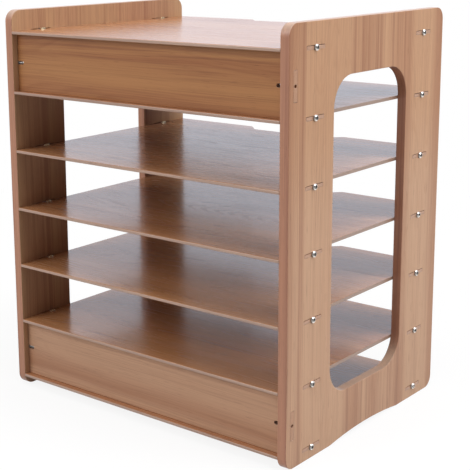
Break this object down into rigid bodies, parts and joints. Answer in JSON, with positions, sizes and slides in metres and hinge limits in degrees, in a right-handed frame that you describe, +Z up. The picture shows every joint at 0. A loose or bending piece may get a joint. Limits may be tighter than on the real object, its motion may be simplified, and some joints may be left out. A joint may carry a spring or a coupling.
{
  "type": "tiered paper organizer",
  "caption": "Knock-down desk rack for paper: two windowed side panels carry thin flat shelves with rear finger notches, held by through tenons, screws and captive nuts.",
  "frame": {"origin": "centre of the footprint, on the surface the organizer stands on", "axes": "+X to the right seen from the front, +Y from the front to the rear, +Z up"},
  "size_m": [0.3362, 0.256, 0.38],
  "materials": {
    "panel_laminate": "satin wood-grain laminate, grain upright",
    "board_laminate": "smooth wood-grain laminate, grain across the width",
    "front_laminate": "satin wood-grain laminate, grain across the width",
    "screw_chrome": "bright nickel plate",
    "nut_steel": "bright zinc plate"
  },
  "bodies": {
    "root": {"left_side_panel": "panel_laminate", "right_side_panel": "panel_laminate", "bottom_board": "board_laminate", "bottom_board_screws": "screw_chrome", "bottom_board_nuts": "nut_steel", "shelf_board_1": "board_laminate", "shelf_board_1_screws": "screw_chrome", "shelf_board_1_nuts": "nut_steel", "shelf_board_2": "board_laminate", "shelf_board_2_screws": "screw_chrome", "shelf_board_2_nuts": "nut_steel", "shelf_board_3": "board_laminate", "shelf_board_3_screws": "screw_chrome", "shelf_board_3_nuts": "nut_steel", "shelf_board_4": "board_laminate", "shelf_board_4_screws": "screw_chrome", "shelf_board_4_nuts": "nut_steel", "shelf_board_5": "board_laminate", "shelf_board_5_screws": "screw_chrome", "shelf_board_5_nuts": "nut_steel", "top_board": "board_laminate", "top_board_screws": "screw_chrome", "top_board_nuts": "nut_steel", "upper_front_panel": "front_laminate", "upper_front_panel_set_screws": "nut_steel", "lower_front_panel": "front_laminate", "lower_front_panel_set_screws": "nut_steel"}
  },
  "joints": []
}
